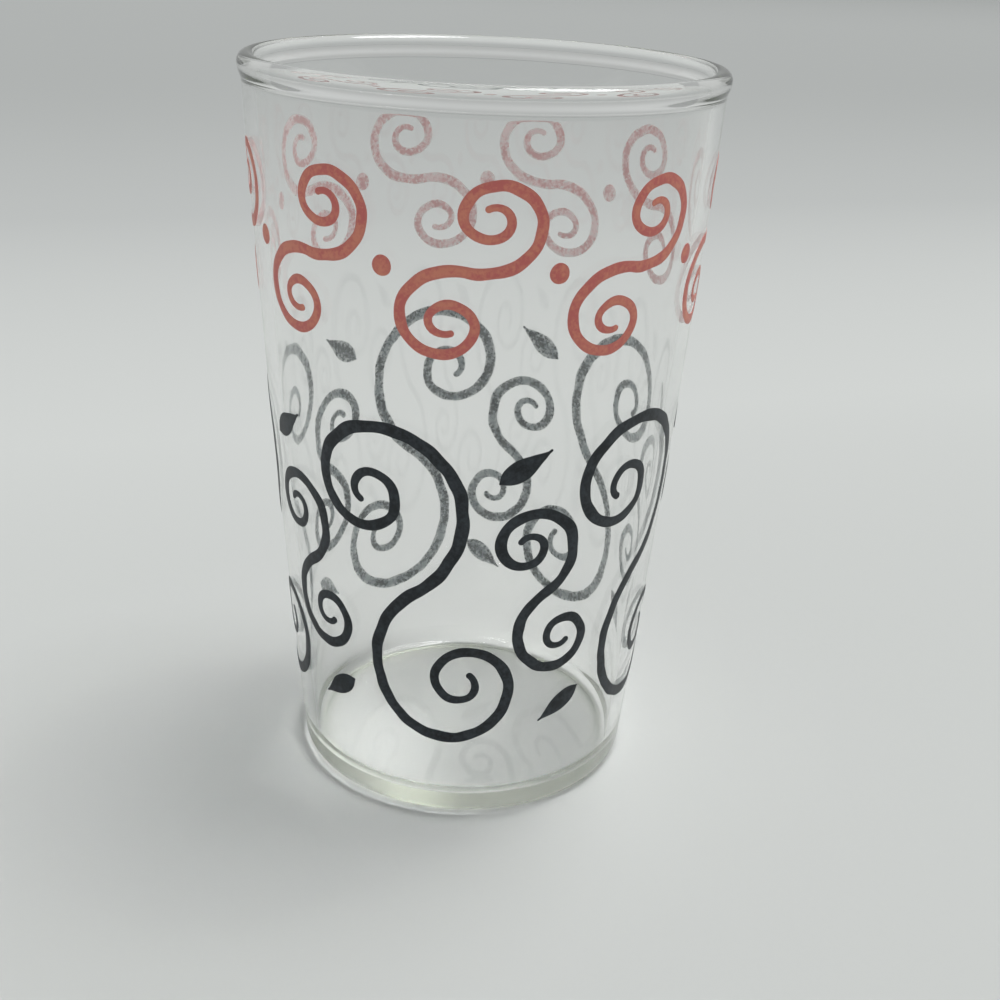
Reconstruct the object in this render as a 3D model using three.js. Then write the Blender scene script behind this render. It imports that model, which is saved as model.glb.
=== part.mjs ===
// A printed juice glass: a clear tumbler with a rounded bead at its rim, a slightly bowed wall
// and a thin flat foot, with two bands of scrolls in fired enamel on the outside of the wall.
// Each stroke, dot and leaf of the print is a separate patch of enamel on the glass.
// Units are millimetres, +Z is up, and the origin is the middle of the foot, on the table.
import * as THREE from "three";

// Sizes of the glass
const HEIGHT = 95; // table to the top of the rim
const RIM_DIAMETER = 60; // over the bead
const BASE_DIAMETER = 46; // where the line of the wall meets the table
const WALL_BOW = 0.5; // swell of the wall beyond a straight taper, at half height
const WALL_THICKNESS = 1.6;
const BEAD_HEIGHT = 2.4;
const BEAD_OUTER_LIP = 0.4; // how far the bead stands out of the wall
const BEAD_INNER_LIP = 0.4; // how far the bead stands into the mouth
const OUTER_FLARE = 2.4; // height over which the outside of the wall swells into the bead
const INNER_FLARE = 1.6; // the same, on the inside
const FLOOR_THICKNESS = 2;
const FLOOR_FILLET = 3; // inside corner between floor and wall
const HEEL_RADIUS = 1.8; // outside corner between foot and wall
const FOOT_RING_WIDTH = 3.2; // flat ring that the glass stands on
const PUSH_UP = 0.1; // rise of the shallow hollow inside that ring

// Sizes of the print
const FILM_THICKNESS = 0.2;
const FILM_CLEARANCE = 0.1; // enamel to glass
const PRINT_GAP = 0.9; // bare glass between neighbouring marks of a band
const RIM_MARGIN = 9.5; // bare glass above the salmon band
const SALMON_BAND_HEIGHT = 20.5;
const BAND_GAP = 8.5; // bare glass between the bands
const FOOT_MARGIN = 12; // bare glass below the black band
const SALMON_COUNT = 9; // scrolls in the salmon band
const SALMON_STROKE = 1.35;
const DOT_DIAMETER = 2.4;
const BLACK_COUNT = 5; // tall scrolls in the black band
const BLACK_STROKE = 1.6;
const TENDRIL_STROKE = 1.45;
const LEAF_LENGTH = 7;
const LEAF_WIDTH = 2.8;

// Proportions of the scrolls: the lean of the line between the eyes of the two curls, the turns
// of each curl, and its innermost radius as a share of its reach from the middle of the scroll
const SALMON_SCROLL = { leanDegrees: 70, turns: 1.65, eyeShare: 0.19 };
const BLACK_SCROLL = { leanDegrees: 115, turns: 1.85, eyeShare: 0.11 };
const TENDRIL_SCROLL = { leanDegrees: 112, turns: 1.6, eyeShare: 0.17 };
const STROKE_TIP_SHARE = 0.6; // width of a stroke at its tip, against its middle
const STROKE_TAPER_POWER = 4; // a higher power keeps more of the stroke at its full width
const LEAF_SWELL_POWER = 0.7; // below 1, a leaf is fullest nearer its stalk
const LEAF_TIP_SHARE = 0.12;
const LEAF_LEAN_DEGREES = 35;

// Places inside the black band, as shares of its height: a tendril stands between two tall
// scrolls, with one leaf over it and one under it
const TENDRIL_SHARE = 0.54;
const LEAF_RISE_SHARE = 0.395;
const LEAF_SHIFT_SHARE = 0.085;

// Where the first scroll of each band stands, in degrees from the front
const SALMON_TURN_DEGREES = -2;
const BLACK_TURN_DEGREES = -14;

// Fineness of the facets
const ROUND_SEGMENTS = 64;
const WALL_STEPS = 6;
const FLARE_STEPS = 4;
const BEAD_STEPS = 6;
const CORNER_STEPS = 5;
const LEAF_STEPS = 6;
const DOT_STEPS = 6;
const LONGEST_STEP = 3;
const WIDEST_CELL = 2.5;
const WIDEST_TURN_STEP = THREE.MathUtils.degToRad(40);

const GLASS = { color: 0xdfe6e3, roughness: 0.04, metalness: 0, transparent: true, opacity: 0.35 };
const SALMON_ENAMEL = { color: 0xd37d70, roughness: 0.4, metalness: 0 };
const BLACK_ENAMEL = { color: 0x292f34, roughness: 0.4, metalness: 0 };

// Places that follow from the sizes
const rimRadius = RIM_DIAMETER / 2;
const baseRadius = BASE_DIAMETER / 2;
const neckRadius = rimRadius - BEAD_OUTER_LIP;
const beadMiddle = HEIGHT - BEAD_HEIGHT / 2;
const beadThickness = BEAD_OUTER_LIP + WALL_THICKNESS + BEAD_INNER_LIP;
const salmonMiddle = HEIGHT - RIM_MARGIN - SALMON_BAND_HEIGHT / 2;
const blackTop = HEIGHT - RIM_MARGIN - SALMON_BAND_HEIGHT - BAND_GAP;
const blackBandHeight = blackTop - FOOT_MARGIN;
const blackMiddle = FOOT_MARGIN + blackBandHeight / 2;

const part = new THREE.Group();
part.name = "juice_glass";

function addNode(name, geometry, finish) {
  const mesh = new THREE.Mesh(geometry, new THREE.MeshStandardMaterial(finish));
  mesh.name = name;
  part.add(mesh);
}

// Outside of the wall: a straight taper from foot to bead, swollen by the bow
function outerRadius(height) {
  const t = height / beadMiddle;
  return THREE.MathUtils.lerp(baseRadius, neckRadius, t) + 4 * WALL_BOW * t * (1 - t);
}

// How far the wall has swollen into the bead, from 0 to 1
function flare(height, run) {
  return THREE.MathUtils.smootherstep(height, beadMiddle - run, beadMiddle);
}

function outside(height) {
  return outerRadius(height) + BEAD_OUTER_LIP * flare(height, OUTER_FLARE);
}

function inside(height) {
  return outerRadius(height) - WALL_THICKNESS - BEAD_INNER_LIP * flare(height, INNER_FLARE);
}

// Points of an ellipse about (x, y), from one angle to another
function arcPoints(x, y, radiusX, radiusY, from, to, steps) {
  const curve = new THREE.EllipseCurve(x, y, radiusX, radiusY, from, to, to < from);
  return curve.getPoints(steps);
}

// Points along one side of the wall, without the two ends
function wallPoints(radiusAt, from, to, steps) {
  const points = [];
  for (let i = 1; i < steps; i++) {
    const height = THREE.MathUtils.lerp(from, to, i / steps);
    points.push(new THREE.Vector2(radiusAt(height), height));
  }
  return points;
}

// The tumbler is one piece of glass, turned from a profile that starts and ends on the axis
function glassGeometry() {
  const right = Math.PI / 2;
  const footEdge = outerRadius(HEEL_RADIUS) - HEEL_RADIUS;
  const ringInside = footEdge - FOOT_RING_WIDTH;

  // The hollow under the foot is a shallow dome
  const underside = [];
  for (let i = 0; i <= CORNER_STEPS; i++) {
    const share = i / CORNER_STEPS;
    underside.push(new THREE.Vector2(ringInside * share, PUSH_UP * (1 - share * share)));
  }

  const heel = arcPoints(footEdge, HEEL_RADIUS, HEEL_RADIUS, HEEL_RADIUS, -right, 0, CORNER_STEPS);

  // The top of the bead is half an ellipse, and the flares below it run into the wall
  const bead = arcPoints(
    rimRadius - beadThickness / 2, beadMiddle, beadThickness / 2, BEAD_HEIGHT / 2,
    0, Math.PI, BEAD_STEPS,
  );
  const outerNeck = beadMiddle - OUTER_FLARE;
  const innerNeck = beadMiddle - INNER_FLARE;

  const filletTop = FLOOR_THICKNESS + FLOOR_FILLET;
  const filletMiddle = inside(filletTop) - FLOOR_FILLET;
  const fillet = arcPoints(
    filletMiddle, filletTop, FLOOR_FILLET, FLOOR_FILLET, 0, -right, CORNER_STEPS,
  );

  const profile = [
    ...underside,
    ...heel,
    ...wallPoints(outside, HEEL_RADIUS, outerNeck, WALL_STEPS),
    new THREE.Vector2(outside(outerNeck), outerNeck),
    ...wallPoints(outside, outerNeck, beadMiddle, FLARE_STEPS),
    ...bead,
    ...wallPoints(inside, beadMiddle, innerNeck, FLARE_STEPS),
    new THREE.Vector2(inside(innerNeck), innerNeck),
    ...wallPoints(inside, innerNeck, filletTop, WALL_STEPS),
    ...fillet,
    new THREE.Vector2(0, FLOOR_THICKNESS),
  ];
  return new THREE.LatheGeometry(profile, ROUND_SEGMENTS).rotateX(right);
}

// A mark of the print is a row of stations along its middle line, each with a half width there.
// It lies flat, with x to the right and y up, seen from outside the glass.

// Tips of a stroke are a little narrower than its middle
function strokeHalfWidth(stroke, t) {
  const fromMiddle = Math.abs(2 * t - 1);
  return (stroke / 2) * (1 - (1 - STROKE_TIP_SHARE) * fromMiddle ** STROKE_TAPER_POWER);
}

// One curl of a scroll: a spiral from the scroll's middle in to the eye, a reach away from it
function curlPoints({ leanDegrees, turns, eyeShare }, reach) {
  const lean = THREE.MathUtils.degToRad(leanDegrees);
  const sweep = 2 * Math.PI * turns;
  const points = [];
  let turned = 0;
  while (turned < sweep) {
    const radius = reach * eyeShare ** (turned / sweep);
    const angle = lean + Math.PI + turned;
    points.push(
      new THREE.Vector2(
        reach * Math.cos(lean) + radius * Math.cos(angle),
        reach * Math.sin(lean) + radius * Math.sin(angle),
      ),
    );
    turned += Math.min(WIDEST_TURN_STEP, LONGEST_STEP / radius);
  }
  return points;
}

function topOf(points) {
  return Math.max(...points.map((p) => p.y));
}

// A scroll is a curl and the same curl turned half round, joined at the middle. Its reach is
// what gives it the height asked for.
function scrollMark(shape, height, stroke) {
  const halfDrawn = (height - stroke) / 2;
  const reach = halfDrawn / topOf(curlPoints(shape, 1));
  const curl = curlPoints(shape, reach);
  const turnedRound = curl.slice(1).map((p) => p.clone().negate()).reverse();
  const path = [...turnedRound, ...curl];
  const scale = halfDrawn / topOf(path);
  return path.map((p, i) => ({
    x: p.x * scale,
    y: p.y * scale,
    half: strokeHalfWidth(stroke, i / (path.length - 1)),
  }));
}

// A round dot, as a row of stations from its lower edge to its upper one
function dotMark(diameter) {
  const stations = [];
  for (let i = 0; i <= DOT_STEPS; i++) {
    const angle = (Math.PI * (i + 0.5)) / (DOT_STEPS + 1);
    stations.push({
      x: 0,
      y: (-diameter / 2) * Math.cos(angle),
      half: (diameter / 2) * Math.sin(angle),
    });
  }
  return stations;
}

// A leaf is fullest a third of the way along, and pointed at its far end
function leafMark(x, y, degrees) {
  const angle = THREE.MathUtils.degToRad(degrees);
  const stations = [];
  for (let i = 0; i <= LEAF_STEPS; i++) {
    const t = i / LEAF_STEPS;
    const along = (t - 0.5) * LEAF_LENGTH;
    const swell = Math.sin(Math.PI * t ** LEAF_SWELL_POWER);
    stations.push({
      x: x + along * Math.cos(angle),
      y: y + along * Math.sin(angle),
      half: (LEAF_WIDTH / 2) * Math.max(swell, LEAF_TIP_SHARE),
    });
  }
  return stations;
}

// The sideways stretch at which two columns of marks, half a pitch apart, keep the print gap
function sidewaysStretch(leftMarks, rightMarks, halfPitch) {
  let stretch = Infinity;
  for (const left of leftMarks) {
    for (const right of rightMarks) {
      for (const a of left) {
        for (const b of right) {
          const room = a.half + b.half + PRINT_GAP;
          const overhang = a.x - b.x;
          if (overhang > 0 && Math.abs(a.y - b.y) < room) {
            stretch = Math.min(stretch, (halfPitch - room) / overhang);
          }
        }
      }
    }
  }
  return stretch;
}

// A film of enamel over the wall, as wide as the mark's stations say. Its x runs round the
// glass at the band's middle height and its y up it. A wide film is cut into cells across, so
// that it follows the curve.
function filmGeometry(stations, column, bandMiddle) {
  const bandRadius = outerRadius(bandMiddle);
  const widest = 2 * Math.max(...stations.map((station) => station.half));
  const cells = Math.ceil(widest / WIDEST_CELL);
  const positions = [];
  const index = [];
  const across = cells + 1;
  const ring = 2 * across;

  stations.forEach((station, i) => {
    const before = stations[Math.max(i - 1, 0)];
    const after = stations[Math.min(i + 1, stations.length - 1)];
    const run = new THREE.Vector2(after.x - before.x, after.y - before.y).normalize();
    for (const lift of [FILM_CLEARANCE, FILM_CLEARANCE + FILM_THICKNESS]) {
      for (let j = 0; j <= cells; j++) {
        const side = station.half * ((2 * j) / cells - 1);
        const angle = column + (station.x + side * run.y) / bandRadius;
        const height = bandMiddle + station.y - side * run.x;
        const radius = outerRadius(height) + lift;
        positions.push(radius * Math.cos(angle), radius * Math.sin(angle), height);
      }
    }
  });

  const quad = (a, b, c, d) => index.push(a, b, c, a, c, d);
  const last = (stations.length - 1) * ring;
  for (let i = 0; i < last; i += ring) {
    for (let j = 0; j < cells; j++) {
      const under = i + j;
      const over = i + across + j;
      quad(under, under + ring, under + ring + 1, under + 1);
      quad(over, over + 1, over + ring + 1, over + ring);
    }
    quad(i, i + across, i + across + ring, i + ring);
    quad(i + cells, i + cells + ring, i + across + cells + ring, i + across + cells);
  }
  for (let j = 0; j < cells; j++) {
    quad(j, j + 1, j + across + 1, j + across);
    quad(last + j, last + j + across, last + j + across + 1, last + j + 1);
  }

  const geometry = new THREE.BufferGeometry();
  geometry.setAttribute("position", new THREE.Float32BufferAttribute(positions, 3));
  geometry.setIndex(index);
  geometry.computeVertexNormals();
  return geometry;
}

// A band repeats two columns of marks round the glass, half a pitch apart. Each column maps the
// names of its marks to their stations, and its marks are stretched sideways to fill the pitch.
function addBand({ count, bandMiddle, turnDegrees, scrolls, fillers, finish }) {
  const pitch = (2 * Math.PI) / count;
  const halfPitch = (pitch / 2) * outerRadius(bandMiddle);
  const stretch = sidewaysStretch(Object.values(scrolls), Object.values(fillers), halfPitch);
  const front = -Math.PI / 2 + THREE.MathUtils.degToRad(turnDegrees);
  for (let i = 0; i < count; i++) {
    [scrolls, fillers].forEach((column, side) => {
      for (const [name, stations] of Object.entries(column)) {
        const stretched = stations.map((s) => ({ ...s, x: s.x * stretch }));
        const angle = front + (i + side / 2) * pitch;
        addNode(`${name}_${i + 1}`, filmGeometry(stretched, angle, bandMiddle), finish);
      }
    });
  }
}

addNode("glass_tumbler", glassGeometry(), GLASS);

addBand({
  count: SALMON_COUNT,
  bandMiddle: salmonMiddle,
  turnDegrees: SALMON_TURN_DEGREES,
  scrolls: { salmon_scroll: scrollMark(SALMON_SCROLL, SALMON_BAND_HEIGHT, SALMON_STROKE) },
  fillers: { salmon_dot: dotMark(DOT_DIAMETER) },
  finish: SALMON_ENAMEL,
});

const leafRise = LEAF_RISE_SHARE * blackBandHeight;
const leafShift = LEAF_SHIFT_SHARE * blackBandHeight;
addBand({
  count: BLACK_COUNT,
  bandMiddle: blackMiddle,
  turnDegrees: BLACK_TURN_DEGREES,
  scrolls: { black_scroll: scrollMark(BLACK_SCROLL, blackBandHeight, BLACK_STROKE) },
  fillers: {
    black_tendril: scrollMark(TENDRIL_SCROLL, TENDRIL_SHARE * blackBandHeight, TENDRIL_STROKE),
    black_upper_leaf: leafMark(-leafShift, leafRise, LEAF_LEAN_DEGREES),
    black_lower_leaf: leafMark(leafShift, -leafRise, LEAF_LEAN_DEGREES + 180),
  },
  finish: BLACK_ENAMEL,
});

export default part;
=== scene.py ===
# A printed juice glass: a clear tumbler with two bands of scrolls in fired enamel on its wall.
# The glass is turned from one profile. Each mark of the print is drawn flat, as if on the
# printer's screen, and then laid round the outside of the wall. Sizes are in millimetres.
import math

import bmesh
import bpy
from mathutils import Matrix, Vector, noise


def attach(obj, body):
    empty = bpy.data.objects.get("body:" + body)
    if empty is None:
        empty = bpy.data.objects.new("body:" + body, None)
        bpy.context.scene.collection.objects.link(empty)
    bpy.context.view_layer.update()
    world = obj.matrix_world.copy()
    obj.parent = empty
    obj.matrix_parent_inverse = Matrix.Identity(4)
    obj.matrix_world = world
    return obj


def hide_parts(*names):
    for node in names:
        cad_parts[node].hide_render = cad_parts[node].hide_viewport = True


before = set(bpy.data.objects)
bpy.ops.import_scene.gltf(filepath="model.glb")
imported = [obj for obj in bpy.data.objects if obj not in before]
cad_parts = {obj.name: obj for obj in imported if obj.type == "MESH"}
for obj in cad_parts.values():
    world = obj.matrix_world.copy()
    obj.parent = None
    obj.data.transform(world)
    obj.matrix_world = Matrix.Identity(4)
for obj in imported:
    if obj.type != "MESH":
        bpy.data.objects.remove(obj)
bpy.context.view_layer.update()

MM = 0.001

# Sizes of the glass, as in the solids
HEIGHT = 95.0
RIM_DIAMETER = 60.0
BASE_DIAMETER = 46.0
WALL_BOW = 0.5
WALL_THICKNESS = 1.6
BEAD_HEIGHT = 2.4
BEAD_OUTER_LIP = 0.4
BEAD_INNER_LIP = 0.4
OUTER_FLARE = 2.4
INNER_FLARE = 1.6
FLOOR_THICKNESS = 2.0
FLOOR_FILLET = 3.0
HEEL_RADIUS = 1.8
FOOT_RING_WIDTH = 3.2
PUSH_UP = 0.1

# Sizes of the print, as in the solids
PRINT_GAP = 0.9
RIM_MARGIN = 9.5
SALMON_BAND_HEIGHT = 20.5
BAND_GAP = 8.5
FOOT_MARGIN = 12.0
SALMON_COUNT = 9
SALMON_STROKE = 1.35
DOT_DIAMETER = 2.4
BLACK_COUNT = 5
BLACK_STROKE = 1.6
TENDRIL_STROKE = 1.45
LEAF_LENGTH = 7.0
LEAF_WIDTH = 2.8
SALMON_SCROLL = {"lean": 70, "turns": 1.65, "eye": 0.19}
BLACK_SCROLL = {"lean": 115, "turns": 1.85, "eye": 0.11}
TENDRIL_SCROLL = {"lean": 112, "turns": 1.6, "eye": 0.17}
STROKE_TIP_SHARE = 0.6
STROKE_TAPER_POWER = 4
LEAF_SWELL_POWER = 0.7
LEAF_TIP_SHARE = 0.12
LEAF_LEAN = 35
TENDRIL_SHARE = 0.54
LEAF_RISE_SHARE = 0.395
LEAF_SHIFT_SHARE = 0.085
SALMON_TURN = -2
BLACK_TURN = -14

# The fired film: it lies on the glass with a hair of air behind it, and thins towards its edges
FILM_GAP = 0.02
FILM_RISE = 0.07
FILM_EDGE_SHARE = 0.4
# The unsteady hand of the screen's cutter, and the rows of noise that it follows
LINE_WOBBLE = 0.16
WIDTH_WOBBLE = 0.10
WOBBLE_LENGTH = 2.4
LINE_ROW = 0.0
WIDTH_ROW = 7.3
ROWS_PER_PITCH = 10

# Finishes: the ripple in the glass, its worn underside, and the clouds and specks of the enamel
RIPPLE_SIZE = 9
RIPPLE_DEPTH = 0.03
RIPPLE_START = 20
RIPPLE_FULL = 45
WORN_BELOW = 0.15
POLISHED_ABOVE = 0.5
WORN_ROUGHNESS = 0.2
CLOUD_SIZE = 3.0
SPECK_DEPTH = 0.015
FRAY_START = 0.5
FRAY_END = 1.1

# Fineness of the meshes: steps, lengths, and the angle of a sharp edge in radians
ROUND_SEGMENTS = 256
WALL_STEPS = 32
FLARE_STEPS = 40
BEAD_STEPS = 32
CORNER_STEPS = 10
FLOOR_STEPS = 8
STROKE_STEP = 0.4
CELLS_ACROSS = 4
TIP_STEPS = 5
LEAF_STEPS = 24
DOT_STEPS = 16
MERGE_DISTANCE = 0.0005
SHARP_EDGE = 1.0
TRIAL_REACH = 10

# The stage, in metres: painted shade greys the table from one line to another, away from the light
TABLE_REACH = 4.0
TABLE_DROP = 0.02 * MM
AWAY_FROM_LIGHT = (-0.3, 1.0, 0.0)
GREYING_START = -0.05
GREYING_END = 0.9
CARD_DISTANCE = 3.5
CARD_HALF_WIDTH = 6.0
CARD_HEIGHT = 4.2
SURROUND = "#a3a5a5"
# The lights: height above the table, bearing from the right and width, in degrees, and strength
LIGHTS = {"key_light": (69, 28, 30, 1.8), "bright_core": (69, 28, 5, 0.12)}
LIGHT_BOUNCES = 256

# The camera, where the photograph was taken from: angles in degrees
CAMERA_PLACE = (0.0, -173.83, 111.78)
CAMERA_PITCH = 23.518
CAMERA_YAW = 1.362
CAMERA_ROLL = 2.569
CAMERA_LENS = 49.03
SENSOR_WIDTH = 36.0
NEAREST_SEEN = 5

rim_radius = RIM_DIAMETER / 2
base_radius = BASE_DIAMETER / 2
neck_radius = rim_radius - BEAD_OUTER_LIP
bead_middle = HEIGHT - BEAD_HEIGHT / 2
bead_thickness = BEAD_OUTER_LIP + WALL_THICKNESS + BEAD_INNER_LIP
salmon_middle = HEIGHT - RIM_MARGIN - SALMON_BAND_HEIGHT / 2
black_top = HEIGHT - RIM_MARGIN - SALMON_BAND_HEIGHT - BAND_GAP
black_band_height = black_top - FOOT_MARGIN
black_middle = FOOT_MARGIN + black_band_height / 2


def linear(hex_colour):
    """An sRGB hex colour as linear RGBA."""
    channels = [int(hex_colour[i:i + 2], 16) / 255 for i in (1, 3, 5)]
    return (*[c / 12.92 if c <= 0.04045 else ((c + 0.055) / 1.055) ** 2.4 for c in channels], 1.0)


def add_node(material, kind, properties={}, sockets={}):
    """Adds a node and sets its properties. A socket takes a value, or a link from another node."""
    node = material.node_tree.nodes.new(kind)
    for name, value in properties.items():
        setattr(node, name, value)
    for name, value in sockets.items():
        if isinstance(value, bpy.types.NodeSocket):
            material.node_tree.links.new(value, node.inputs[name])
        else:
            node.inputs[name].default_value = value
    return node


def new_material(name):
    """An empty node material with its output node."""
    material = bpy.data.materials.new(name)
    material.use_nodes = True
    material.node_tree.nodes.clear()
    return material, add_node(material, "ShaderNodeOutputMaterial")


def add_piece(name, bm, materials, node):
    """Turns a bmesh in millimetres into a piece that stands for one node of the solids."""
    bmesh.ops.scale(bm, vec=(MM, MM, MM), verts=bm.verts[:])
    mesh = bpy.data.meshes.new(name)
    bm.to_mesh(mesh)
    bm.free()
    for material in materials:
        mesh.materials.append(material)
    piece = bpy.data.objects.new(name, mesh)
    bpy.context.scene.collection.objects.link(piece)
    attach(piece, "root")
    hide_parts(node)
    return piece


# Materials


def soda_lime_glass():
    """Blown soda-lime glass, fire-polished: clear, with a faint grey-green depth at its edges and
    a slow ripple that bends what is seen through it and dies away towards the foot. Its underside
    is dulled by years of tables, which evens the light in the foot."""
    material, output = new_material("soda_lime_glass")
    place = add_node(material, "ShaderNodeTexCoord")
    ripple = add_node(
        material,
        "ShaderNodeTexNoise",
        sockets={
            "Vector": place.outputs["Object"],
            "Scale": 1 / (RIPPLE_SIZE * MM),
            "Detail": 1.0,
            "Roughness": 0.4,
        },
    )
    axes = add_node(
        material, "ShaderNodeSeparateXYZ", sockets={"Vector": place.outputs["Object"]}
    )
    calm = add_node(
        material,
        "ShaderNodeMapRange",
        sockets={
            "Value": axes.outputs["Z"],
            "From Min": RIPPLE_START * MM,
            "From Max": RIPPLE_FULL * MM,
        },
    )
    bump = add_node(
        material,
        "ShaderNodeBump",
        sockets={
            "Height": ripple.outputs["Fac"],
            "Strength": calm.outputs["Result"],
            "Distance": RIPPLE_DEPTH * MM,
        },
    )
    wear = add_node(
        material,
        "ShaderNodeMapRange",
        sockets={
            "Value": axes.outputs["Z"],
            "From Min": WORN_BELOW * MM,
            "From Max": POLISHED_ABOVE * MM,
            "To Min": WORN_ROUGHNESS,
            "To Max": 0.0,
        },
    )
    glass = add_node(
        material,
        "ShaderNodeBsdfPrincipled",
        sockets={
            "Base Color": linear("#fefefe"),
            "Roughness": wear.outputs["Result"],
            "IOR": 1.52,
            "Transmission Weight": 1.0,
            "Normal": bump.outputs["Normal"],
        },
    )
    depth = add_node(
        material,
        "ShaderNodeVolumeAbsorption",
        sockets={"Color": linear("#cbd1bd"), "Density": 16.0},
    )
    material.node_tree.links.new(glass.outputs["BSDF"], output.inputs["Surface"])
    material.node_tree.links.new(depth.outputs["Volume"], output.inputs["Volume"])
    return material


def fired_enamel(name, thin, full, edge, spread, speck, ragged):
    """Screen-printed glass enamel, fired on: opaque and satin, clouded where the ink lay thinner
    and specked by the mesh of the screen. Seen through the glass it breaks up towards its edges; on
    the inner face the paler colours and pale edge are painted light, standing in for light that
    shines through the thin ink from behind.
    The colours are those of the thin ink, the full ink and the edge, the spread is how softly thin
    turns to full, and a ragged edge breaks up further in. The specks, in millimetres, are drawn
    about three times too large, as the real mesh is too fine to show."""
    material, output = new_material(name)
    place = add_node(material, "ShaderNodeTexCoord")
    clouds, specks = [
        add_node(
            material,
            "ShaderNodeTexNoise",
            sockets={
                "Vector": place.outputs["Object"],
                "Scale": 1 / (size * MM),
                "Detail": 3.0,
                "Roughness": 0.6,
            },
        )
        for size in (CLOUD_SIZE, speck)
    ]
    density = add_node(
        material,
        "ShaderNodeMix",
        {"data_type": "FLOAT"},
        {"Factor": 0.5, "A": clouds.outputs["Fac"], "B": specks.outputs["Fac"]},
    )
    ramp = add_node(
        material, "ShaderNodeValToRGB", sockets={"Fac": density.outputs["Result"]}
    )
    ramp.color_ramp.elements[0].position = 0.5 - spread
    ramp.color_ramp.elements[0].color = linear(thin)
    ramp.color_ramp.elements[1].position = 0.5 + spread
    ramp.color_ramp.elements[1].color = linear(full)
    across = add_node(material, "ShaderNodeAttribute", {"attribute_name": "across"})
    frayed = add_node(
        material,
        "ShaderNodeMath",
        {"operation": "MULTIPLY_ADD"},
        {0: specks.outputs["Fac"], 1: -ragged, 2: across.outputs["Fac"]},
    )
    fray = add_node(
        material,
        "ShaderNodeMapRange",
        sockets={
            "Value": frayed.outputs["Value"],
            "From Min": FRAY_START - ragged / 2,
            "From Max": FRAY_END - ragged / 2,
        },
    )
    colour = add_node(
        material,
        "ShaderNodeMix",
        {"data_type": "RGBA"},
        {"Factor": fray.outputs["Result"], "A": ramp.outputs["Color"], "B": linear(edge)},
    )
    bump = add_node(
        material,
        "ShaderNodeBump",
        sockets={
            "Height": specks.outputs["Fac"],
            "Strength": 0.5,
            "Distance": SPECK_DEPTH * MM,
        },
    )
    enamel = add_node(
        material,
        "ShaderNodeBsdfPrincipled",
        sockets={
            "Base Color": colour.outputs["Result"],
            "Roughness": 0.45,
            "Specular IOR Level": 0.3,
            "Normal": bump.outputs["Normal"],
        },
    )
    material.node_tree.links.new(enamel.outputs["BSDF"], output.inputs["Surface"])
    return material


def pale_table():
    """Matt white board with painted light and shade: a painted pool of light keeps it a little
    paler just behind the glass, then painted shade greys it where it runs back away from the light."""
    material, output = new_material("pale_table")
    place = add_node(material, "ShaderNodeTexCoord")
    away = add_node(
        material,
        "ShaderNodeVectorMath",
        {"operation": "DOT_PRODUCT"},
        {0: place.outputs["Object"], 1: AWAY_FROM_LIGHT},
    )
    back = add_node(
        material,
        "ShaderNodeMapRange",
        {"interpolation_type": "SMOOTHERSTEP"},
        {"Value": away.outputs["Value"], "From Min": GREYING_START, "From Max": GREYING_END},
    )
    shade = add_node(material, "ShaderNodeValToRGB", sockets={"Fac": back.outputs["Result"]})
    shade.color_ramp.elements[0].color = linear("#cfd1cf")
    shade.color_ramp.elements[1].color = linear("#b1b3b2")
    # Painted light and shade: a paler stop just behind the glass, greyer stops further back.
    for share, colour in ((0.05, "#d4d6d4"), (0.4, "#bfc1c0")):
        shade.color_ramp.elements.new(share).color = linear(colour)
    board = add_node(
        material, "ShaderNodeBsdfDiffuse", sockets={"Color": shade.outputs["Color"]}
    )
    material.node_tree.links.new(board.outputs["BSDF"], output.inputs["Surface"])
    return material


def glowing_card():
    """White card that glows with painted light, though it is no lamp, as if lit from above, with
    painted shade greying it towards the table: it is seen only through the glass, and keeps the
    foot bright."""
    material, output = new_material("glowing_card")
    place = add_node(material, "ShaderNodeTexCoord")
    axes = add_node(
        material, "ShaderNodeSeparateXYZ", sockets={"Vector": place.outputs["Object"]}
    )
    up = add_node(
        material,
        "ShaderNodeMapRange",
        {"interpolation_type": "SMOOTHERSTEP"},
        {"Value": axes.outputs["Z"], "From Min": 0.0, "From Max": CARD_HEIGHT / 2},
    )
    shade = add_node(material, "ShaderNodeValToRGB", sockets={"Fac": up.outputs["Result"]})
    shade.color_ramp.elements[0].color = linear("#b2b4b3")
    shade.color_ramp.elements[1].color = linear("#d0d2d1")
    # Painted light: the card shines by its own glow, paler high up and greyer towards the table.
    glow = add_node(material, "ShaderNodeEmission", sockets={"Color": shade.outputs["Color"]})
    material.node_tree.links.new(glow.outputs["Emission"], output.inputs["Surface"])
    return material


# The tumbler


def outer_radius(height):
    """Outside of the wall: a straight taper from foot to bead, swollen by the bow."""
    t = height / bead_middle
    return base_radius + (neck_radius - base_radius) * t + 4 * WALL_BOW * t * (1 - t)


def flare(height, run):
    """How far the wall has thickened into the bead, from 0 to 1."""
    t = min(max(1 - (bead_middle - height) / run, 0), 1)
    return t**3 * (10 - 15 * t + 6 * t**2)


def outside(height):
    return outer_radius(height) + BEAD_OUTER_LIP * flare(height, OUTER_FLARE)


def inside(height):
    return outer_radius(height) - WALL_THICKNESS - BEAD_INNER_LIP * flare(height, INNER_FLARE)


def arc(x, y, radius_x, radius_y, start, end, steps):
    """Points of an ellipse about (x, y), from one angle to another."""
    angles = [start + (end - start) * i / steps for i in range(steps + 1)]
    return [(x + radius_x * math.cos(a), y + radius_y * math.sin(a)) for a in angles]


def wall_line(radius_at, start, end, steps):
    """Points along one side of the wall, without its lower end."""
    heights = [start + (end - start) * i / steps for i in range(1, steps + 1)]
    return [(radius_at(height), height) for height in heights]


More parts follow.
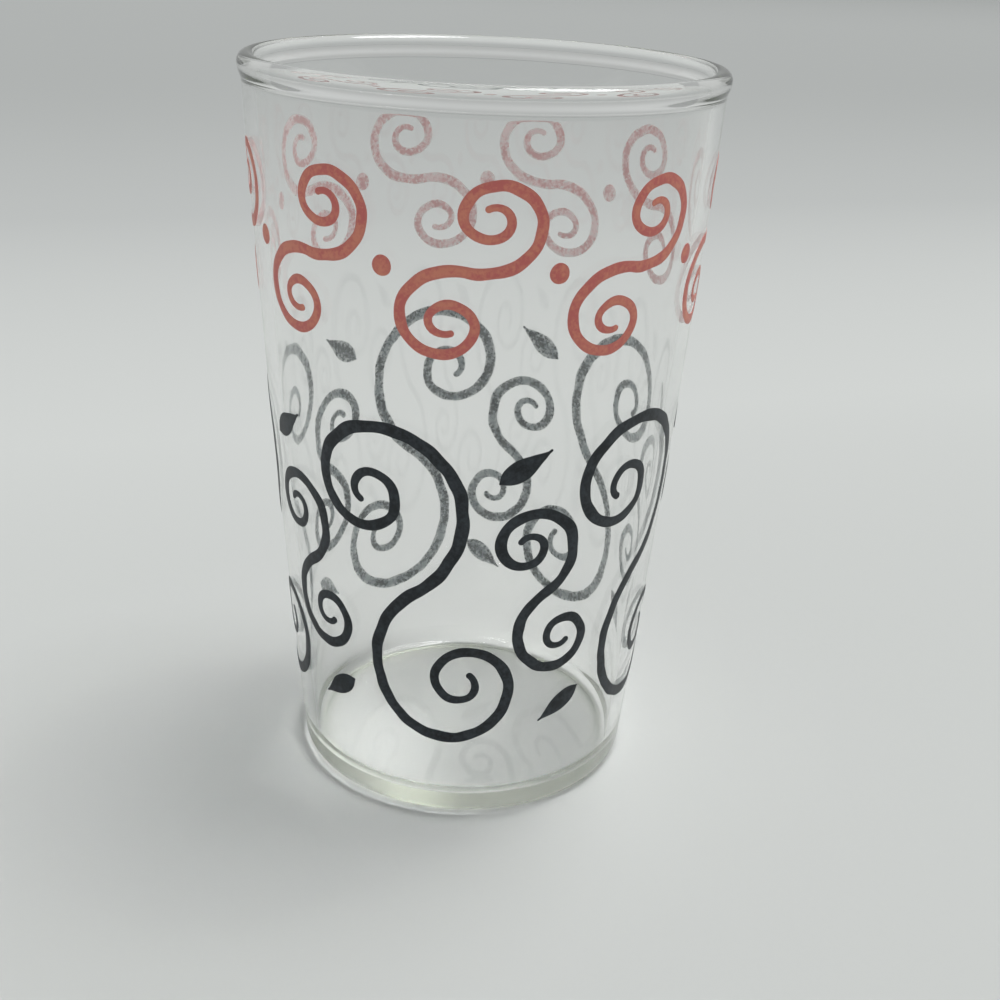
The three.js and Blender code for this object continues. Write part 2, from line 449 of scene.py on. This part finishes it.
def tumbler():
    """The glass, turned from a profile that starts under the foot and ends on the floor."""
    right_angle = math.pi / 2
    foot_edge = outer_radius(HEEL_RADIUS) - HEEL_RADIUS
    ring_inside = foot_edge - FOOT_RING_WIDTH
    shares = [i / CORNER_STEPS for i in range(CORNER_STEPS + 1)]
    push_up = [(ring_inside * share, PUSH_UP * (1 - share**2)) for share in shares]
    heel = arc(foot_edge, HEEL_RADIUS, HEEL_RADIUS, HEEL_RADIUS, -right_angle, 0, CORNER_STEPS)

    outer_neck = bead_middle - OUTER_FLARE
    inner_neck = bead_middle - INNER_FLARE
    half_bead = bead_thickness / 2
    bead = arc(
        rim_radius - half_bead, bead_middle, half_bead, BEAD_HEIGHT / 2, 0, math.pi, BEAD_STEPS
    )

    fillet_top = FLOOR_THICKNESS + FLOOR_FILLET
    fillet_middle = inside(fillet_top) - FLOOR_FILLET
    fillet = arc(
        fillet_middle, fillet_top, FLOOR_FILLET, FLOOR_FILLET, 0, -right_angle, CORNER_STEPS
    )
    floor = [
        (fillet_middle * (1 - i / FLOOR_STEPS), FLOOR_THICKNESS) for i in range(1, FLOOR_STEPS + 1)
    ]
    inner_wall = wall_line(inside, fillet_top, inner_neck, WALL_STEPS)
    inner_wall += wall_line(inside, inner_neck, bead_middle, FLARE_STEPS)[:-1]
    points = [
        *push_up,
        *heel,
        *wall_line(outside, HEEL_RADIUS, outer_neck, WALL_STEPS),
        *wall_line(outside, outer_neck, bead_middle, FLARE_STEPS)[:-1],
        *bead,
        *reversed(inner_wall),
        *fillet,
        *floor,
    ]

    bm = bmesh.new()
    profile = [bm.verts.new((radius, 0, height)) for radius, height in points]
    for start, end in zip(profile, profile[1:]):
        bm.edges.new((start, end))
    bmesh.ops.spin(
        bm,
        geom=bm.verts[:] + bm.edges[:],
        cent=(0, 0, 0),
        axis=(0, 0, 1),
        angle=2 * math.pi,
        steps=ROUND_SEGMENTS,
        use_merge=True,
    )
    bmesh.ops.remove_doubles(bm, verts=bm.verts[:], dist=MERGE_DISTANCE)
    bmesh.ops.recalc_face_normals(bm, faces=bm.faces[:])
    for face in bm.faces:
        face.smooth = True
    return bm


# The print, drawn flat: a mark is a row of stations (x, y, half width) along its middle line


def stroke_half_width(stroke, t):
    """Strokes narrow a little towards their tips."""
    return stroke / 2 * (1 - (1 - STROKE_TIP_SHARE) * abs(2 * t - 1) ** STROKE_TAPER_POWER)


def curl_points(shape, reach):
    """One curl of a scroll: a spiral from the scroll's middle in to the eye, a reach away."""
    lean = math.radians(shape["lean"])
    sweep = 2 * math.pi * shape["turns"]
    eye = Vector((reach * math.cos(lean), reach * math.sin(lean)))
    points = []
    turned = 0.0
    while turned < sweep:
        radius = reach * shape["eye"] ** (turned / sweep)
        angle = lean + math.pi + turned
        points.append(eye + Vector((radius * math.cos(angle), radius * math.sin(angle))))
        turned += STROKE_STEP / radius
    return points


def scroll_mark(shape, height, stroke):
    """A curl and the same curl turned half round, joined at the middle, as tall as asked."""
    half_drawn = (height - stroke) / 2
    reach = half_drawn / max(p.y for p in curl_points(shape, TRIAL_REACH)) * TRIAL_REACH
    curl = curl_points(shape, reach)
    path = [-p for p in reversed(curl[1:])] + curl
    scale = half_drawn / max(p.y for p in path)
    last = len(path) - 1
    return [
        (p.x * scale, p.y * scale, stroke_half_width(stroke, i / last))
        for i, p in enumerate(path)
    ]


def dot_mark(diameter):
    """A round dot, from its lower edge to its upper one."""
    angles = [math.pi * i / DOT_STEPS for i in range(DOT_STEPS + 1)]
    return [(0, -diameter / 2 * math.cos(a), diameter / 2 * math.sin(a)) for a in angles]


def leaf_mark(x, y, lean):
    """A leaf, fullest a third of the way along and pointed at its far end."""
    run = Vector((math.cos(math.radians(lean)), math.sin(math.radians(lean))))
    stations = []
    for i in range(LEAF_STEPS + 1):
        t = i / LEAF_STEPS
        along = (t - 0.5) * LEAF_LENGTH
        swell = max(math.sin(math.pi * t**LEAF_SWELL_POWER), LEAF_TIP_SHARE)
        stations.append((x + along * run.x, y + along * run.y, LEAF_WIDTH / 2 * swell))
    return stations


def sideways_stretch(left_marks, right_marks, half_pitch):
    """The stretch at which two columns of marks, half a pitch apart, keep the print gap."""
    stretch = math.inf
    for left in left_marks:
        for right in right_marks:
            for ax, ay, a_half in left:
                for bx, by, b_half in right:
                    room = a_half + b_half + PRINT_GAP
                    if ax > bx and abs(ay - by) < room:
                        stretch = min(stretch, (half_pitch - room) / (ax - bx))
    return stretch


def run_at(stations, i):
    """Direction of the middle line at a station."""
    before = stations[max(i - 1, 0)]
    after = stations[min(i + 1, len(stations) - 1)]
    return Vector((after[0] - before[0], after[1] - before[1])).normalized()


def round_tips(stations):
    """Adds a half-round tip beyond each end of a stroke."""
    tips = []
    for i, way in ((0, -1), (len(stations) - 1, 1)):
        x, y, half = stations[i]
        run = run_at(stations, i) * way
        angles = [math.pi / 2 * k / TIP_STEPS for k in range(1, TIP_STEPS + 1)]
        tips.append(
            [
                (x + run.x * half * math.sin(a), y + run.y * half * math.sin(a), half * math.cos(a))
                for a in angles
            ]
        )
    return tips[0][::-1] + stations + tips[1]


def hand_cut(stations, seed):
    """Lets the middle line and the width waver a little, as a hand-cut screen does."""
    wavered = []
    along = 0.0
    for i, (x, y, half) in enumerate(stations):
        if i:
            along += math.dist((x, y), stations[i - 1][:2])
        run = run_at(stations, i)
        aside = LINE_WOBBLE * noise.noise((along / WOBBLE_LENGTH, seed, LINE_ROW))
        wider = WIDTH_WOBBLE * noise.noise((along / WOBBLE_LENGTH, seed, WIDTH_ROW))
        fade = min(1, half / (SALMON_STROKE / 2))
        wavered.append((x + aside * run.y, y - aside * run.x, half + wider * fade))
    return wavered


def enamel_film(stations, column, band_middle):
    """A thin closed film, as wide as the stations say, laid round the wall about a column."""
    bm = bmesh.new()
    across = bm.verts.layers.float.new("across")
    last = len(stations) - 1
    bmesh.ops.create_grid(bm, x_segments=CELLS_ACROSS, y_segments=last, size=1)
    grown = bmesh.ops.extrude_face_region(bm, geom=bm.faces[:], use_keep_orig=True)
    upper = [item for item in grown["geom"] if isinstance(item, bmesh.types.BMVert)]
    bmesh.ops.translate(bm, verts=upper, vec=(0, 0, 1))
    bmesh.ops.recalc_face_normals(bm, faces=bm.faces[:])
    for face in bm.faces:
        face.material_index = 1 if face.normal.z < -0.5 else 0
        face.smooth = True
    for edge in bm.edges:
        edge.smooth = edge.calc_face_angle(0) < SHARP_EDGE

    band_radius = outer_radius(band_middle)
    for vert in bm.verts:
        i = round((vert.co.y + 1) / 2 * last)
        vert[across] = abs(vert.co.x)
        x, y, half = stations[i]
        run = run_at(stations, i)
        side = half * vert.co.x
        thinning = FILM_EDGE_SHARE + (1 - FILM_EDGE_SHARE) * (1 - abs(vert.co.x) ** 2)
        lift = FILM_GAP + FILM_RISE * thinning if vert.co.z > 0.5 else FILM_GAP
        angle = column + (x + side * run.y) / band_radius
        height = band_middle + y - side * run.x
        radius = outer_radius(height) + lift
        vert.co = (radius * math.cos(angle), radius * math.sin(angle), height)
    bmesh.ops.recalc_face_normals(bm, faces=bm.faces[:])
    return bm


def add_band(count, band_middle, turn, scrolls, fillers, materials):
    """Two columns of marks repeat round the glass, half a pitch apart. Each column maps the names
    of its marks to their stations."""
    pitch = 2 * math.pi / count
    half_pitch = pitch / 2 * outer_radius(band_middle)
    stretch = sideways_stretch(scrolls.values(), fillers.values(), half_pitch)
    front = -math.pi / 2 + math.radians(turn)
    for shift, column in ((0, scrolls), (0.5, fillers)):
        for seed, (name, stations) in enumerate(column.items()):
            stretched = [(x * stretch, y, half) for x, y, half in stations]
            drawn = hand_cut(stretched, seed + ROWS_PER_PITCH * shift)
            if "dot" not in name:
                drawn = round_tips(drawn)
            for i in range(count):
                node = f"{name}_{i + 1}"
                film = enamel_film(drawn, front + (i + shift) * pitch, band_middle)
                add_piece(f"{node}_enamel", film, materials, node)


salmon_face = fired_enamel(
    "salmon_enamel",
    thin="#dd8c76",
    full="#ce6f6a",
    edge="#cf7a70",
    spread=0.07,
    speck=0.5,
    ragged=0.5,
)
# The inner face, seen through the glass: its paler colours and near-white edge are painted light
# shining through the thin ink.
salmon_back_painted_backlight = fired_enamel(
    "salmon_enamel_inner_face_painted_backlight",
    thin="#f2dada",
    full="#dba7a7",
    edge="#efe6e5",
    spread=0.06,
    speck=0.45,
    ragged=3.0,
)
black_face = fired_enamel(
    "black_enamel",
    thin="#363c42",
    full="#1c2125",
    edge="#2c3236",
    spread=0.09,
    speck=0.5,
    ragged=0.5,
)
# The inner face, seen through the glass: its pale grey colours and near-white edge are painted
# light shining through the thin ink.
black_back_painted_backlight = fired_enamel(
    "black_enamel_inner_face_painted_backlight",
    thin="#98a1a4",
    full="#3d4548",
    edge="#c8cccc",
    spread=0.06,
    speck=0.45,
    ragged=3.0,
)

add_piece("tumbler", tumbler(), [soda_lime_glass()], "glass_tumbler")

add_band(
    SALMON_COUNT,
    salmon_middle,
    SALMON_TURN,
    {"salmon_scroll": scroll_mark(SALMON_SCROLL, SALMON_BAND_HEIGHT, SALMON_STROKE)},
    {"salmon_dot": dot_mark(DOT_DIAMETER)},
    [salmon_face, salmon_back_painted_backlight],
)

leaf_rise = LEAF_RISE_SHARE * black_band_height
leaf_shift = LEAF_SHIFT_SHARE * black_band_height
add_band(
    BLACK_COUNT,
    black_middle,
    BLACK_TURN,
    {"black_scroll": scroll_mark(BLACK_SCROLL, black_band_height, BLACK_STROKE)},
    {
        "black_tendril": scroll_mark(
            TENDRIL_SCROLL, TENDRIL_SHARE * black_band_height, TENDRIL_STROKE
        ),
        "black_upper_leaf": leaf_mark(-leaf_shift, leaf_rise, LEAF_LEAN),
        "black_lower_leaf": leaf_mark(leaf_shift, -leaf_rise, LEAF_LEAN + 180),
    },
    [black_face, black_back_painted_backlight],
)


# The stage: a wide pale table, a glowing card far behind it, soft light from high on the right


def add_board(name, half_width, half_depth, place, material):
    """A flat board of the stage, placed by a matrix."""
    bm = bmesh.new()
    bmesh.ops.create_grid(bm, x_segments=1, y_segments=1, size=1)
    bmesh.ops.scale(bm, vec=(half_width, half_depth, 1), verts=bm.verts[:])
    bmesh.ops.transform(bm, matrix=place, verts=bm.verts[:])
    mesh = bpy.data.meshes.new(name)
    bm.to_mesh(mesh)
    bm.free()
    mesh.materials.append(material)
    board = bpy.data.objects.new(name, mesh)
    bpy.context.scene.collection.objects.link(board)


add_board(
    "table",
    TABLE_REACH,
    TABLE_REACH,
    Matrix.Translation((0, 0, -TABLE_DROP)),
    pale_table(),
)
add_board(
    "card",
    CARD_HALF_WIDTH,
    CARD_HEIGHT / 2,
    Matrix.Translation((0, CARD_DISTANCE, CARD_HEIGHT / 2)) @ Matrix.Rotation(math.pi / 2, 4, "X"),
    glowing_card(),
)

for name, (height, bearing, width, strength) in LIGHTS.items():
    light = bpy.data.lights.new(name, "SUN")
    light.energy = strength
    light.angle = math.radians(width)
    lamp = bpy.data.objects.new(name, light)
    aim = Matrix.Rotation(math.radians(bearing), 3, "Z")
    aim = aim @ Matrix.Rotation(math.radians(90 - height), 3, "Y")
    lamp.rotation_euler = aim.to_euler()
    bpy.context.scene.collection.objects.link(lamp)

world = bpy.data.worlds.new("surround")
world.use_nodes = True
world.node_tree.nodes["Background"].inputs["Color"].default_value = linear(SURROUND)
world.node_tree.nodes["Background"].inputs["Strength"].default_value = 1.0
bpy.context.scene.world = world

# The camera

lens = bpy.data.cameras.new("camera")
lens.lens = CAMERA_LENS
lens.sensor_width = SENSOR_WIDTH
lens.clip_start = NEAREST_SEEN * MM
camera = bpy.data.objects.new("camera", lens)
turn = (
    Matrix.Rotation(math.radians(-CAMERA_YAW), 4, "Z")
    @ Matrix.Rotation(math.radians(90 - CAMERA_PITCH), 4, "X")
    @ Matrix.Rotation(math.radians(CAMERA_ROLL), 4, "Z")
)
camera.matrix_world = Matrix.Translation(Vector(CAMERA_PLACE) * MM) @ turn
bpy.context.scene.collection.objects.link(camera)

scene = bpy.context.scene
scene.camera = camera
scene.view_settings.view_transform = "Standard"
scene.cycles.max_bounces = LIGHT_BOUNCES
scene.cycles.transmission_bounces = LIGHT_BOUNCES
scene.cycles.glossy_bounces = LIGHT_BOUNCES
scene.cycles.blur_glossy = 0.0
scene.cycles.use_denoising = True

bpy.context.view_layer.update()
